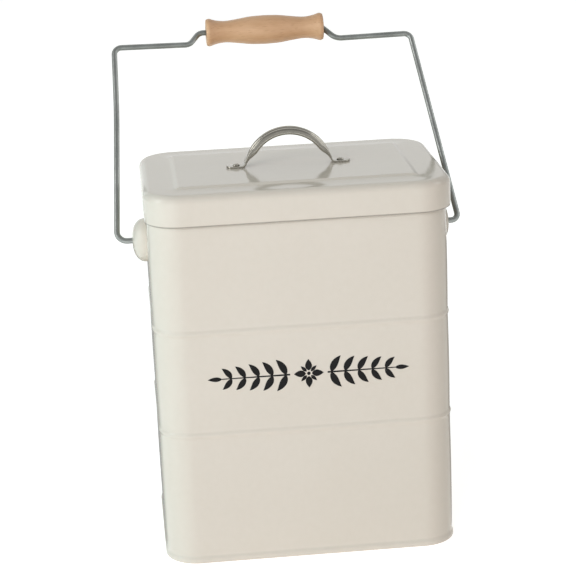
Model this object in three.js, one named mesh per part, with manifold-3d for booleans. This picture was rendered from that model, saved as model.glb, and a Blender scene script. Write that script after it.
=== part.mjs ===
// A lidded tin for laundry powder: a rounded rectangular tin of painted sheet steel with a
// loose lid, an arched lid handle, and a wire bail with a turned wooden grip.
// Millimetres. X runs to the right, Y to the back and Z up. The origin is on the floor,
// under the middle of the tin.
import * as THREE from "three";
import { mergeVertices } from "three/addons/utils/BufferGeometryUtils.js";
import Module from "manifold-3d";

const wasm = await Module();
wasm.setup();

// Sheet, and the gaps between pieces
const SHEET = 0.5;
const SEAT_GAP = 0.3;
const RUNNING_GAP = 0.25;

// Tin: its wall, measured outside
const BODY_WIDTH = 190;
const BODY_DEPTH = 135;
const BODY_CORNER = 21;
const RIM_HEIGHT = 243.4;
const RIM_CURL = 1.3;
const RIM_HOOK = 1.2;
const BEAD_HEIGHTS = [88, 156];
const BEAD_HALF_HEIGHT = 2.6;
const BEAD_RISE = 0.7;
const SEAM_WIDTH = 8;
const SEAM_RISE = 0.5;
const SEAM_SLOPE = 0.6;
const SEAM_START = 8;
const SEAM_END = 4;

// Base pan, folded up round the foot of the wall
const BASE_FOLD = 3;
const BASE_EDGE_RADIUS = 1.1;

// Lid: a pressed pan turned over, with a raised panel and a hemmed skirt. It is loose on
// the tin, and sits a little to the right.
const LID_OVERHANG = 2.4;
const LID_SHIFT = 0.8;
const LID_DEPTH = 20;
const LID_SHOULDER = 6.5;
const HEM_WIDTH = 3.2;
const PANEL_MARGIN = 19.7;
const PANEL_STEP = 2.4;
const PANEL_RISE = 1;

// Lid handle: a pressed strap, half round and hollow in its arch and flattened at its two
// pads. Each pad is held by a rivet. It sits a little to the left of the lid's middle.
const HANDLE_SHIFT = -0.8;
const HANDLE_LENGTH = 80.8;
const HANDLE_SPAN = 58;
const HANDLE_HEIGHT = 25.4;
const FOOT_BEND = 2.4;
const STRAP_WIDTH = 8.6;
const STRAP_SHEET = 1;
const STRAP_DEPTH = 3.9;
const STRAP_SWELL = 12;
const PAD_DEPTH = 1.2;
const PAD_SQUARENESS = 7;
const RIVET_FROM_END = 6.3;
const RIVET_SHANK = 1.5;
const RIVET_HEAD = 2.3;
const RIVET_HEAD_HEIGHT = 1.1;
const RIVET_TAIL = 2.4;
const RIVET_TAIL_HEIGHT = 0.7;

// Ears: hollow pressed domes on the two sides, just under the lid's skirt
const EAR_UNDER_LID = 9.27;
const EAR_RADIUS = 14.3;
const EAR_DEPTH = 9.3;
const EAR_SHEET = 0.6;
const EAR_ROUNDNESS = 2.4;

// Bail: one bent wire, measured along its middle. The two bars of its top drop below the
// grip's line, and each slopes down a little towards its crank.
const WIRE = 3.8;
const WIRE_CHAMFER = 0.4;
const WIRE_END_GAP = 2;
const BAIL_TILT = 38;
const BAIL_REACH = 151.5;
const BAIL_STAND_OFF = 8.6;
const BAIL_LEAN = 11.4;
const BAIL_SHIFT = -1.4;
const BAIL_RACK = -4.8;
const BAIL_BOW = 1.1;
const BAIL_BOW_HEIGHT = 96;
const BAIL_BOW_RADIUS = 1000;
const LEFT_FOOT_BEND = 6.5;
const RIGHT_FOOT_BEND = 4.6;
const BAIL_TOP_BEND = 5;
const LEFT_BAR_DROP = 7.9;
const RIGHT_BAR_DROP = 9.3;
const BAR_SLOPE = 0.7;
const LEFT_CRANK_GAP = 4.8;
const LEFT_CRANK_RUN = 7;
const LEFT_CRANK_BEND = 6;
const RIGHT_CRANK_GAP = -1.4;
const RIGHT_CRANK_RUN = 9.6;
const RIGHT_CRANK_OUTER_BEND = 9;
const RIGHT_CRANK_INNER_BEND = 4.5;

// Grip: turned beech, free to turn on the wire. Its bore is countersunk at both ends, where
// the wire's cranks begin.
const GRIP_LENGTH = 80.6;
const GRIP_END_RADIUS = 9.3;
const GRIP_WAIST_RADIUS = 7.4;
const GRIP_BELLY_RADIUS = 9.85;
const GRIP_WAIST_FROM_END = 12.6;
const GRIP_LIP = 1.8;
const GRIP_LIP_RADIUS = 8.8;
const GRIP_SINK_RADIUS = 4.8;
const GRIP_SINK_DEPTH = 4.5;
const GRIP_SHIFT = 1.8;

// Fineness of the round shapes
const CORNER_STEPS = 8;
const ARC_STEPS = 5;
const BEAD_STEPS = 6;
const PAD_STEPS = 5;
const ARCH_STEPS = 28;
const STRAP_STEPS = 12;
const WIRE_SIDES = 10;
const LATHE_STEPS = 22;
const DOME_STEPS = 7;
const GRIP_STEPS = 30;

const RIGHT_ANGLE = Math.PI / 2;

// Materials
function paint(name, colour, roughness, metalness) {
  const material = new THREE.MeshStandardMaterial({ color: colour, roughness, metalness });
  material.name = name;
  return material;
}

const creamEnamel = paint("cream_enamel", 0xddd5c8, 0.3, 0);
const nickelPlate = paint("nickel_plate", 0xb9b4aa, 0.22, 1);
const galvanisedWire = paint("galvanised_wire", 0x8e9092, 0.42, 1);
const beechWood = paint("beech_wood", 0xcfa17c, 0.5, 0);

// Rings of points joined into one closed body. The rings run up the outside first, and
// each goes round anticlockwise seen from the end of the run.
function loft(rings, closed) {
  const count = rings[0].length;
  const positions = rings.flat().flatMap((point) => point.toArray());
  const faces = [];
  const last = closed ? rings.length : rings.length - 1;
  for (let ring = 0; ring < last; ring += 1) {
    const here = ring * count;
    const above = ((ring + 1) % rings.length) * count;
    for (let side = 0; side < count; side += 1) {
      const next = (side + 1) % count;
      faces.push(here + side, here + next, above + next);
      faces.push(here + side, above + next, above + side);
    }
  }
  if (!closed) {
    capRing(positions, faces, rings[0], 0, true);
    capRing(positions, faces, rings[rings.length - 1], (rings.length - 1) * count, false);
  }
  const geometry = new THREE.BufferGeometry();
  geometry.setAttribute("position", new THREE.Float32BufferAttribute(positions, 3));
  geometry.setIndex(faces);
  return geometry;
}

// Closes one end of a loft with a fan of triangles about its middle
function capRing(positions, faces, ring, first, atStart) {
  const middle = new THREE.Vector3();
  for (const point of ring) middle.addScaledVector(point, 1 / ring.length);
  const centre = positions.length / 3;
  positions.push(...middle.toArray());
  for (let side = 0; side < ring.length; side += 1) {
    const here = first + side;
    const next = first + ((side + 1) % ring.length);
    if (atStart) faces.push(centre, next, here);
    else faces.push(centre, here, next);
  }
}

// The tin's outline seen from above, moved outwards by an offset. A lift raises the strip
// at the middle of the back, where the two ends of the sheet overlap.
function outline({ offset, height, lift = 0 }) {
  const halfWidth = BODY_WIDTH / 2 + offset;
  const halfDepth = BODY_DEPTH / 2 + offset;
  const radius = BODY_CORNER + offset;
  const seam = SEAM_WIDTH / 2;
  const ring = [
    new THREE.Vector3(seam + SEAM_SLOPE, halfDepth, height),
    new THREE.Vector3(seam, halfDepth + lift, height),
    new THREE.Vector3(-seam, halfDepth + lift, height),
    new THREE.Vector3(-seam - SEAM_SLOPE, halfDepth, height),
  ];
  const centres = [[-1, 1], [-1, -1], [1, -1], [1, 1]];
  centres.forEach(([sideX, sideY], corner) => {
    for (let step = 0; step <= CORNER_STEPS; step += 1) {
      const angle = RIGHT_ANGLE * (1 + corner + step / CORNER_STEPS);
      const x = sideX * (halfWidth - radius) + radius * Math.cos(angle);
      const y = sideY * (halfDepth - radius) + radius * Math.sin(angle);
      ring.push(new THREE.Vector3(x, y, height));
    }
  });
  return ring;
}

// Points on an arc in a section, with angles in quarter turns from straight outwards
function sectionArc(offset, height, radius, from, to) {
  const points = [];
  for (let step = 0; step <= ARC_STEPS; step += 1) {
    const angle = RIGHT_ANGLE * (from + ((to - from) * step) / ARC_STEPS);
    const across = offset + radius * Math.cos(angle);
    const up = height + radius * Math.sin(angle);
    points.push({ offset: across, height: up });
  }
  return points;
}

// The swell of one bead, from its foot to its head
function beadPoints(middle, base) {
  const points = [];
  for (let step = 0; step <= BEAD_STEPS; step += 1) {
    const along = (2 * step) / BEAD_STEPS - 1;
    const rise = (BEAD_RISE * (1 + Math.cos(Math.PI * along))) / 2;
    points.push({ offset: base + rise, height: middle + along * BEAD_HALF_HEIGHT });
  }
  return points;
}

function seamLifted(points) {
  return points.map((point) => ({ ...point, lift: SEAM_RISE }));
}

// Wall: one sheet wrapped round, with two beads and a rim curled inwards
function bodyWall() {
  const foot = SHEET + SEAT_GAP;
  const curlHeight = RIM_HEIGHT - RIM_CURL;
  const inside = RIM_CURL - SHEET;
  const beadsOutside = BEAD_HEIGHTS.flatMap((height) => beadPoints(height, 0));
  const beadsInside = BEAD_HEIGHTS.flatMap((height) => beadPoints(height, -SHEET)).reverse();
  const section = [
    { offset: 0, height: foot },
    { offset: 0, height: SEAM_START - SEAM_SLOPE },
    ...seamLifted([
      { offset: 0, height: SEAM_START },
      ...beadsOutside,
      { offset: 0, height: curlHeight - SEAM_END },
    ]),
    { offset: 0, height: curlHeight - SEAM_END + SEAM_SLOPE },
    ...sectionArc(-RIM_CURL, curlHeight, RIM_CURL, 0, 2),
    { offset: -2 * RIM_CURL, height: curlHeight - RIM_HOOK },
    { offset: -2 * RIM_CURL + SHEET, height: curlHeight - RIM_HOOK },
    ...sectionArc(-RIM_CURL, curlHeight, inside, 2, 0),
    ...beadsInside,
    { offset: -SHEET, height: foot },
  ];
  return loft(section.map(outline), true);
}

// Base: a flat pan whose edge is folded up round the foot of the wall
function basePan() {
  const outer = SEAT_GAP + SHEET;
  const inner = SEAT_GAP;
  const bend = outer - BASE_EDGE_RADIUS;
  const section = [
    ...sectionArc(bend, BASE_EDGE_RADIUS, BASE_EDGE_RADIUS, -1, 0),
    { offset: outer, height: BASE_FOLD },
    { offset: inner, height: BASE_FOLD },
    ...sectionArc(bend, BASE_EDGE_RADIUS, BASE_EDGE_RADIUS - SHEET, 0, -1),
  ];
  return loft(section.map(outline), false);
}

// The lid rests on the curled rim with the inside of its rounded shoulder, so the height of
// its top follows from the two curves, on the side where they are closest.
const SHOULDER_INSIDE = LID_SHOULDER - SHEET;
const SHOULDER_OFFSET = LID_OVERHANG - LID_SHOULDER;
const LID_TOP = lidTop();

function lidTop() {
  const reach = Math.max(0, -RIM_CURL - SHOULDER_OFFSET + Math.abs(LID_SHIFT));
  const room = SHOULDER_INSIDE - SEAT_GAP - RIM_CURL;
  const drop = reach > 0 ? Math.sqrt(Math.max(0, room * room - reach * reach)) : room;
  return RIM_HEIGHT - RIM_CURL - drop + LID_SHOULDER;
}

const PANEL_TOP = LID_TOP + PANEL_RISE;
const EAR_HEIGHT = LID_TOP - LID_DEPTH - EAR_UNDER_LID - EAR_RADIUS;
const RIVET_SPACING = HANDLE_LENGTH - 2 * RIVET_FROM_END;
const BAIL_TOP_MIDDLE = BAIL_SHIFT + BAIL_RACK;
const GRIP_MIDDLE = BAIL_TOP_MIDDLE + GRIP_SHIFT;

// Lid: listed from the middle of its underside, out and down the skirt, and back over it
function lidPan() {
  const shoulder = LID_TOP - LID_SHOULDER;
  const bottom = LID_TOP - LID_DEPTH;
  const outer = LID_OVERHANG;
  const inner = LID_OVERHANG - SHEET;
  const hem = LID_OVERHANG - 2 * SHEET;
  const hemRound = SHEET / 2;
  const stepFoot = LID_OVERHANG - PANEL_MARGIN;
  const stepHead = stepFoot - PANEL_STEP;
  const section = [
    { offset: stepHead, height: PANEL_TOP - SHEET },
    { offset: stepFoot, height: LID_TOP - SHEET },
    ...sectionArc(SHOULDER_OFFSET, shoulder, SHOULDER_INSIDE, 1, 0),
    { offset: inner, height: bottom + HEM_WIDTH + hemRound },
    { offset: hem, height: bottom + HEM_WIDTH },
    { offset: hem, height: bottom + hemRound },
    { offset: hem + hemRound, height: bottom },
    { offset: outer - hemRound, height: bottom },
    { offset: outer, height: bottom + hemRound },
    ...sectionArc(SHOULDER_OFFSET, shoulder, LID_SHOULDER, 0, 1),
    { offset: stepFoot, height: LID_TOP },
    { offset: stepHead, height: PANEL_TOP },
  ];
  return loft(section.map(outline), false);
}

// Joining and cutting of closed meshes
function solidOf(geometry) {
  const bare = geometry.clone();
  bare.deleteAttribute("normal");
  bare.deleteAttribute("uv");
  const merged = mergeVertices(bare, 1e-4);
  const vertProperties = new Float32Array(merged.attributes.position.array);
  const triVerts = new Uint32Array(merged.index.array);
  return new wasm.Manifold(new wasm.Mesh({ numProp: 3, vertProperties, triVerts }));
}

function geometryOf(solid) {
  const mesh = solid.getMesh();
  const geometry = new THREE.BufferGeometry();
  geometry.setAttribute("position", new THREE.Float32BufferAttribute(mesh.vertProperties, 3));
  geometry.setIndex([...mesh.triVerts]);
  return geometry;
}

// A round hole straight through in Z
function drill(radius, length, x, z) {
  const cutter = new THREE.CylinderGeometry(radius, radius, length, LATHE_STEPS);
  cutter.rotateX(RIGHT_ANGLE);
  cutter.translate(x, 0, z);
  return solidOf(cutter);
}

// The crest line of the handle, from its left end to its right: place, slope, and how far
// it is from the start of the arch. Its origin is on the lid's panel, in the middle.
function handleCrest() {
  const end = HANDLE_LENGTH / 2;
  const rise = HANDLE_HEIGHT - PAD_DEPTH;
  const radius = ((HANDLE_SPAN / 2) ** 2 + rise ** 2) / (2 * rise);
  const drop = rise - radius;
  const bendX = Math.sqrt((radius + FOOT_BEND) ** 2 - (FOOT_BEND - drop) ** 2);
  const tilt = Math.atan2(FOOT_BEND - drop, bendX);
  const half = [];
  for (let step = 0; step <= PAD_STEPS; step += 1) {
    const reach = (STRAP_WIDTH / 2) * (1 - Math.cos((RIGHT_ANGLE * step) / PAD_STEPS));
    half.push({ x: -end + reach, z: PAD_DEPTH, slope: 0, along: 0 });
  }
  for (let step = 0; step <= ARC_STEPS; step += 1) {
    const slope = ((RIGHT_ANGLE - tilt) * step) / ARC_STEPS;
    const x = -bendX + FOOT_BEND * Math.sin(slope);
    const z = PAD_DEPTH + FOOT_BEND * (1 - Math.cos(slope));
    half.push({ x, z, slope, along: 0 });
  }
  const arch = [];
  const sweep = Math.PI - 2 * tilt;
  for (let step = 1; step < ARCH_STEPS; step += 1) {
    const angle = Math.PI - tilt - (sweep * step) / ARCH_STEPS;
    const x = radius * Math.cos(angle);
    const z = PAD_DEPTH + drop + radius * Math.sin(angle);
    const along = (radius * sweep * Math.min(step, ARCH_STEPS - step)) / ARCH_STEPS;
    arch.push({ x, z, slope: angle - RIGHT_ANGLE, along });
  }
  const mirrored = half.map((place) => ({ ...place, x: -place.x, slope: -place.slope }));
  return [...half, ...arch, ...mirrored.reverse()];
}

function smoothly(share) {
  const held = Math.min(1, Math.max(0, share));
  return held * held * (3 - 2 * held);
}

// The strap's section at one place: over its crest, and back along its hollow underside
function strapRing({ x, z, slope, along }) {
  const swell = smoothly(along / STRAP_SWELL);
  const depth = PAD_DEPTH + (STRAP_DEPTH - PAD_DEPTH) * swell;
  const roundness = PAD_SQUARENESS + (2 - PAD_SQUARENESS) * swell;
  const fromEnd = HANDLE_LENGTH / 2 - Math.abs(x);
  const cut = 1 - Math.min(1, fromEnd / (STRAP_WIDTH / 2));
  const narrowing = Math.sqrt(Math.max(0.01, 1 - cut * cut));
  const half = (STRAP_WIDTH / 2) * narrowing;
  const ring = [];
  const skin = (halfWidth, height, from, to) => {
    for (let step = 0; step <= STRAP_STEPS; step += 1) {
      const angle = from + ((to - from) * step) / STRAP_STEPS;
      const across = Math.abs(Math.cos(angle)) ** (2 / roundness);
      const up = Math.abs(Math.sin(angle)) ** (2 / roundness);
      const lift = height * up - depth;
      const y = halfWidth * across * (Math.cos(angle) < 0 ? -1 : 1);
      ring.push(new THREE.Vector3(x - lift * Math.sin(slope), y, z + lift * Math.cos(slope)));
    }
  };
  skin(half, depth, 0, Math.PI);
  skin(half - STRAP_SHEET * narrowing, depth - STRAP_SHEET, Math.PI, 0);
  return ring;
}

function lidHandle() {
  let solid = solidOf(loft(handleCrest().map(strapRing), false));
  for (const x of [-RIVET_SPACING / 2, RIVET_SPACING / 2]) {
    solid = solid.subtract(drill(RIVET_SHANK + SEAT_GAP, 4 * PAD_DEPTH, x, PAD_DEPTH / 2));
  }
  return geometryOf(solid);
}

// Lid with the two holes for the handle's rivets
function drilledLid() {
  let solid = solidOf(lidPan());
  for (const side of [-1, 1]) {
    const x = HANDLE_SHIFT + (side * RIVET_SPACING) / 2;
    solid = solid.subtract(drill(RIVET_SHANK + SEAT_GAP, 8 * SHEET, x, PANEL_TOP - SHEET / 2));
  }
  return geometryOf(solid);
}

// A turned shape from points of radius and height, listed up its outside
function turned(profile) {
  const points = profile.map(([radius, height]) => new THREE.Vector2(radius, height));
  return new THREE.LatheGeometry(points, LATHE_STEPS);
}

// Rivet: through a handle pad and the lid, with its origin on the lid's panel
function rivet() {
  const tailTop = -SHEET - SEAT_GAP;
  const headFoot = PAD_DEPTH + 2 * SEAT_GAP;
  const profile = [
    [0, tailTop - RIVET_TAIL_HEIGHT],
    [RIVET_TAIL, tailTop - RIVET_TAIL_HEIGHT],
    [RIVET_TAIL, tailTop],
    [RIVET_SHANK, tailTop],
    [RIVET_SHANK, headFoot],
    [RIVET_HEAD, headFoot],
  ];
  for (let step = 1; step <= ARC_STEPS; step += 1) {
    const angle = (RIGHT_ANGLE * step) / ARC_STEPS;
    const radius = step === ARC_STEPS ? 0 : RIVET_HEAD * Math.cos(angle);
    profile.push([radius, headFoot + RIVET_HEAD_HEIGHT * Math.sin(angle)]);
  }
  const geometry = turned(profile);
  geometry.rotateX(RIGHT_ANGLE);
  return geometry;
}

// Ear: a hollow dome with a hole at its tip for the wire. Its axis is Z here, and its open
// side is at 0.
function earDome() {
  const hole = WIRE / 2 + RUNNING_GAP;
  const skin = (radius, depth, sign) => {
    const points = [];
    const last = Math.acos((hole / radius) ** (EAR_ROUNDNESS / 2));
    for (let step = 0; step <= DOME_STEPS; step += 1) {
      const angle = (last * (sign > 0 ? step : DOME_STEPS - step)) / DOME_STEPS;
      const across = radius * Math.cos(angle) ** (2 / EAR_ROUNDNESS);
      const up = depth * Math.sin(angle) ** (2 / EAR_ROUNDNESS);
      points.push([across, up]);
    }
    return points;
  };
  const outside = skin(EAR_RADIUS, EAR_DEPTH, 1);
  const inside = skin(EAR_RADIUS - EAR_SHEET, EAR_DEPTH - EAR_SHEET, -1);
  const geometry = turned([...outside, ...inside, outside[0]]);
  geometry.rotateX(RIGHT_ANGLE);
  return geometry;
}

// A path of straight runs joined by arcs: where it goes, and its direction there
function bentPath(corners) {
  const stations = [];
  corners.forEach(({ at, bend }, index) => {
    if (!bend) {
      const other = index === 0 ? corners[1].at : corners[index - 1].at;
      const along = at.clone().sub(other).normalize();
      if (index === 0) along.negate();
      stations.push({ at, along });
      return;
    }
    const into = at.clone().sub(corners[index - 1].at).normalize();
    const out = corners[index + 1].at.clone().sub(at).normalize();
    const turn = into.angleTo(out);
    const start = at.clone().addScaledVector(into, -bend * Math.tan(turn / 2));
    const inward = out.clone().addScaledVector(into, -out.dot(into)).normalize();
    for (let step = 0; step <= ARC_STEPS; step += 1) {
      const angle = (turn * step) / ARC_STEPS;
      const place = start.clone().addScaledVector(into, bend * Math.sin(angle));
      place.addScaledVector(inward, bend * (1 - Math.cos(angle)));
      const along = into.clone().multiplyScalar(Math.cos(angle));
      along.addScaledVector(inward, Math.sin(angle));
      stations.push({ at: place, along });
    }
  });
  return stations;
}

// A ring of points round the wire, square to its path
function circleAcross({ at, along }, flatNormal, radius) {
  const side = new THREE.Vector3().crossVectors(flatNormal, along);
  const ring = [];
  for (let step = 0; step < WIRE_SIDES; step += 1) {
    const angle = (2 * Math.PI * step) / WIRE_SIDES;
    const point = at.clone().addScaledVector(side, radius * Math.cos(angle));
    ring.push(point.addScaledVector(flatNormal, radius * Math.sin(angle)));
  }
  return ring;
}

// Bail: bent flat in the plane of X and Z, with its pivot along X at 0. Each end stops
// short of the tin's wall, inside its ear, and the legs stand off from the ears and lean in.
// The left leg is bowed inwards, and the loop's top is racked a little to one side.
function bailWire() {
  const end = BODY_WIDTH / 2 + WIRE_END_GAP;
  const footHalf = BODY_WIDTH / 2 + SEAT_GAP + EAR_DEPTH + BAIL_STAND_OFF;
  const topHalf = footHalf - BAIL_LEAN;
  const corner = (x, z, bend) => ({ at: new THREE.Vector3(x, 0, z), bend });
  const foot = (side, bend) => corner(BAIL_SHIFT + side * footHalf, 0, bend);
  const shoulder = (side, drop) => {
    return corner(BAIL_TOP_MIDDLE + side * topHalf, BAIL_REACH - drop, BAIL_TOP_BEND);
  };
  const crank = (side, { drop, gap, run, outerBend, innerBend }) => {
    const inner = GRIP_MIDDLE + side * (GRIP_LENGTH / 2 + gap);
    return [
      corner(inner + side * run, BAIL_REACH - drop - BAR_SLOPE, outerBend),
      corner(inner, BAIL_REACH, innerBend),
    ];
  };
  const leftFoot = foot(-1, LEFT_FOOT_BEND);
  const leftShoulder = shoulder(-1, LEFT_BAR_DROP);
  const bow = leftFoot.at.clone().lerp(leftShoulder.at, BAIL_BOW_HEIGHT / leftShoulder.at.z);
  const leftCrank = crank(-1, {
    drop: LEFT_BAR_DROP,
    gap: LEFT_CRANK_GAP,
    run: LEFT_CRANK_RUN,
    outerBend: LEFT_CRANK_BEND,
    innerBend: LEFT_CRANK_BEND,
  });
  const rightCrank = crank(1, {
    drop: RIGHT_BAR_DROP,
    gap: RIGHT_CRANK_GAP,
    run: RIGHT_CRANK_RUN,
    outerBend: RIGHT_CRANK_OUTER_BEND,
    innerBend: RIGHT_CRANK_INNER_BEND,
  });
  const stations = bentPath([
    corner(-end, 0),
    leftFoot,
    corner(bow.x + BAIL_BOW, bow.z, BAIL_BOW_RADIUS),
    leftShoulder,
    ...leftCrank,
    ...rightCrank.reverse(),
    shoulder(1, RIGHT_BAR_DROP),
    foot(1, RIGHT_FOOT_BEND),
    corner(end, 0),
  ]);
  const flatNormal = new THREE.Vector3(0, -1, 0);
  const rings = stations.map((station) => circleAcross(station, flatNormal, WIRE / 2));
  const first = stations[0];
  const last = stations[stations.length - 1];
  const inset = (station, sign) => ({
    at: station.at.clone().addScaledVector(station.along, sign * WIRE_CHAMFER),
    along: station.along,
  });
  rings[0] = circleAcross(inset(first, 1), flatNormal, WIRE / 2);
  rings[rings.length - 1] = circleAcross(inset(last, -1), flatNormal, WIRE / 2);
  rings.unshift(circleAcross(first, flatNormal, WIRE / 2 - WIRE_CHAMFER));
  rings.push(circleAcross(last, flatNormal, WIRE / 2 - WIRE_CHAMFER));
  return loft(rings, false);
}

// Grip: turned about Z here, from one end to the other, with a countersunk bore for the wire
function gripWood() {
  const half = GRIP_LENGTH / 2;
  const bore = WIRE / 2 + RUNNING_GAP;
  const boreEnd = half - GRIP_SINK_DEPTH;
  const waist = half - GRIP_WAIST_FROM_END;
  const flare = new THREE.SplineCurve([
    new THREE.Vector2(GRIP_LIP_RADIUS, -half),
    new THREE.Vector2(GRIP_END_RADIUS, -half + GRIP_LIP),
    new THREE.Vector2((GRIP_END_RADIUS + GRIP_WAIST_RADIUS) / 2, -half + 3 * GRIP_LIP),
    new THREE.Vector2(GRIP_WAIST_RADIUS, -waist),
    new THREE.Vector2((GRIP_WAIST_RADIUS + GRIP_BELLY_RADIUS) / 2, -waist / 2),
    new THREE.Vector2(GRIP_BELLY_RADIUS, 0),
    new THREE.Vector2((GRIP_WAIST_RADIUS + GRIP_BELLY_RADIUS) / 2, waist / 2),
    new THREE.Vector2(GRIP_WAIST_RADIUS, waist),
    new THREE.Vector2((GRIP_END_RADIUS + GRIP_WAIST_RADIUS) / 2, half - 3 * GRIP_LIP),
    new THREE.Vector2(GRIP_END_RADIUS, half - GRIP_LIP),
    new THREE.Vector2(GRIP_LIP_RADIUS, half),
  ]);
  const outside = flare.getPoints(GRIP_STEPS).map((point) => point.toArray());
  const geometry = turned([
    [GRIP_SINK_RADIUS, -half],
    ...outside,
    [GRIP_SINK_RADIUS, half],
    [bore, boreEnd],
    [bore, -boreEnd],
    [GRIP_SINK_RADIUS, -half],
  ]);
  geometry.rotateZ(-RIGHT_ANGLE);
  return geometry;
}

// Assembly
function piece(name, geometry, material, parent) {
  const mesh = new THREE.Mesh(geometry, material);
  mesh.name = name;
  parent.add(mesh);
  return mesh;
}

const group = new THREE.Group();

piece("base_pan", basePan(), creamEnamel, group);
piece("body_wall", bodyWall(), creamEnamel, group);

const lidGroup = new THREE.Group();
lidGroup.position.x = LID_SHIFT;
group.add(lidGroup);
piece("lid", drilledLid(), creamEnamel, lidGroup);
const handle = piece("lid_handle", lidHandle(), nickelPlate, lidGroup);
handle.position.set(HANDLE_SHIFT, 0, PANEL_TOP + SEAT_GAP);

for (const [side, sign] of [["left", -1], ["right", 1]]) {
  const pin = piece(`lid_rivet_${side}`, rivet(), nickelPlate, lidGroup);
  pin.position.set(HANDLE_SHIFT + (sign * RIVET_SPACING) / 2, 0, PANEL_TOP);
  const ear = piece(`ear_${side}`, earDome(), creamEnamel, group);
  ear.position.set(sign * (BODY_WIDTH / 2 + SEAT_GAP), 0, EAR_HEIGHT);
  ear.rotation.y = sign * RIGHT_ANGLE;
}

const bail = new THREE.Group();
bail.position.z = EAR_HEIGHT;
bail.rotation.x = -THREE.MathUtils.degToRad(BAIL_TILT);
group.add(bail);
piece("bail_wire", bailWire(), galvanisedWire, bail);
const grip = piece("grip", gripWood(), beechWood, bail);
grip.position.set(GRIP_MIDDLE, 0, BAIL_REACH);

export default group;
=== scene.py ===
import math

import bpy
import numpy as np
from mathutils import Matrix, Vector


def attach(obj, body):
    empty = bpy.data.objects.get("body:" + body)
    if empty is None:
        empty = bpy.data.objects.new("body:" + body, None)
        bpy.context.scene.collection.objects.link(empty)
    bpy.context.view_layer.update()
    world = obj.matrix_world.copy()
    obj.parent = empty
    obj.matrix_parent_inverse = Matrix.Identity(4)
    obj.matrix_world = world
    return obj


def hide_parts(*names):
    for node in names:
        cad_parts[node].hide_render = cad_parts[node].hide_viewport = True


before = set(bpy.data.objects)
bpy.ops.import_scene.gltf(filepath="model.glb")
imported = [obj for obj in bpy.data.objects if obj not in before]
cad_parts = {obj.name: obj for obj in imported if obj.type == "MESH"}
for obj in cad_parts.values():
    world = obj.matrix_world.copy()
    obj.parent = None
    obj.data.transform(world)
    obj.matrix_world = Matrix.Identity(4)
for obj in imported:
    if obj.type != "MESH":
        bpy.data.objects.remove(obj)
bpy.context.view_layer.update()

# Sizes are in millimetres here, and meshes are made in metres
MM = 0.001

# Tin
BODY_WIDTH = 190.0
BODY_DEPTH = 135.0
BODY_CORNER = 21.0
SHEET = 0.5
WALL_FOOT = 0.8
RIM_HEIGHT = 243.4
RIM_CURL = 1.3
RIM_HOOK = 1.2
BEAD_HEIGHTS = (88.0, 156.0)
BEAD_HALF_HEIGHT = 2.6
BEAD_RISE = 0.7
PANEL_BULGE = 0.5
CORNER_BULGE = 0.3
BULGE_STOPS = (6.0, *BEAD_HEIGHTS, 222.0)
BULGE_POWER = 0.8
SEAM_HALF = 4.0
SEAM_RISE = 0.5
SEAM_SOFT_EDGE = 2.0
SEAM_START = 7.6
SEAM_STOP = 238.3
SEAM_END_RUN = 0.4
SEAM_END_ROUND = 0.05
BASE_RISE = 0.8
BASE_EDGE_RADIUS = 1.5
BASE_FOLD = 2.6
BASE_FLARE = 2.6
BASE_FLAT_INSET = 3.0
FOLD_SEAT = 0.01
FOLD_EDGE = 0.02
FOLD_TIP = 0.03
PAN_INSET = 0.3

# Lid
LID_SHIFT = 0.8
LID_OVERHANG = 2.4
LID_DEPTH = 20.0
LID_SHOULDER = 5.0
LID_TOP = 246.07
HEM_WIDTH = 3.2
HEM_ROUND = 0.15
HEM_ROUND_ACROSS = 0.12
HEM_CLEAR = 0.5
SKIRT_START = 3.0
# Painted shade at the hem's lowest edge, standing in for the shadow line under the skirt: the
# band's height and how strongly its dark colour is laid over the paint
HEM_SHADE_BAND = 1.0
HEM_SHADE = 0.6
SHOULDER_STEPS = 16
BORDER_RUN = 4.0
PANEL_MARGIN = 19.7
PANEL_STEP = 3.4
PANEL_RISE = 1.0
PANEL_LIP = 0.2
PANEL_TOP = LID_TOP + PANEL_RISE

# Lid handle and its rivets, whose poles are small flats that close their two ends
HANDLE_SHIFT = 0.0
HANDLE_LENGTH = 80.8
HANDLE_SPAN = 58.0
HANDLE_HEIGHT = 25.4
FOOT_BEND = 2.4
STRAP_WIDTH = 8.6
STRAP_SHEET = 1.0
STRAP_DEPTH = 3.9
STRAP_SWELL = 12.0
STRAP_TUCK = math.radians(16.0)
PAD_SEAT = 0.06
PAD_DEPTH = 1.2
PAD_SQUARENESS = 7.0
PAD_TIP_LIFT = 0.3
PAD_TIP_RUN = 2.5
PAD_FLAT_PLACES = (5.0, 6.5, 8.0)
GROOVE_DEPTH = 0.4
GROOVE_START = 5.0
GROOVE_FADE = 4.0
GROOVE_ANGLES = (math.radians(58.0), math.radians(122.0))
GROOVE_WIDTH = math.radians(9.0)
RIVET_SPACING = 68.2
RIVET_HEAD = 2.3
RIVET_HEAD_HEIGHT = 1.25
RIVET_SHANK = 1.5
RIVET_HEAD_EDGE = 0.12
RIVET_HEAD_TUCK = 0.15
RIVET_TAIL = 2.4
RIVET_TAIL_HEIGHT = 0.7
RIVET_TAIL_GAP = 0.02
RIVET_TAIL_BEVEL = 0.3
RIVET_TAIL_FLAT = 0.6
RIVET_POLES = (0.15, 0.12)

# Ears, with the lip of the hole as depth below the ear's tip and distance from the hole
EAR_HEIGHT = 202.5
EAR_RADIUS = 14.3
EAR_DEPTH = 9.3
EAR_SHEET = 0.6
EAR_ROUNDNESS = 2.4
EAR_SEAT = 0.3
EAR_CLEARANCE = 0.25
EAR_HOLE_EDGE = 0.35
EAR_LIP = ((0.1, 0.12), (0.3, 0.0))

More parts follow.
